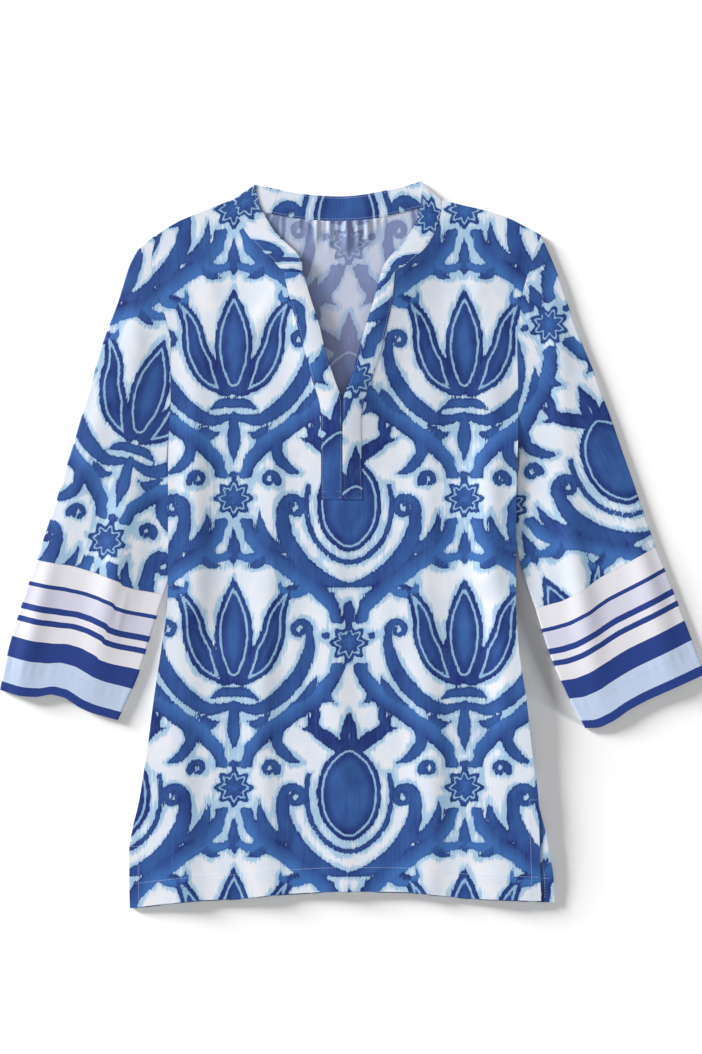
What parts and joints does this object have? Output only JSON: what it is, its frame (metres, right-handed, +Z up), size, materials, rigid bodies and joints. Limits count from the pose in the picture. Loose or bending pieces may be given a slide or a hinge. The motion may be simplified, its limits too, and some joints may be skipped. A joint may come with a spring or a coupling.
{
  "type": "tunic top",
  "caption": "Printed tunic top laid flat front up, with a narrow stand neck band, a V opening above a short slit, three-quarter sleeves with wide striped cuff bands and side vents at the hem.",
  "frame": {"origin": "middle of the bounding box on the surface that the garment lies on", "axes": "+Z up off the surface towards the viewer, +Y from the hem to the neck, +X to the right of the garment as seen from its front"},
  "size_m": [0.747, 0.77, 0.0119],
  "materials": {
    "printed_cloth": "smooth woven crepe with a soft sheen, blue motifs on a white ground",
    "printed_band_cloth": "the same printed crepe, doubled and topstitched",
    "striped_cuff_cloth": "smooth woven crepe with dark blue, pale blue and white stripes round the cuff"
  },
  "bodies": {
    "root": {"back_panel": "printed_cloth", "front_panel": "printed_cloth", "sleeve_left": "printed_cloth", "sleeve_right": "printed_cloth", "cuff_left": "striped_cuff_cloth", "cuff_right": "striped_cuff_cloth", "collar_band": "printed_band_cloth", "placket_left": "printed_band_cloth", "placket_right": "printed_band_cloth"}
  },
  "joints": []
}
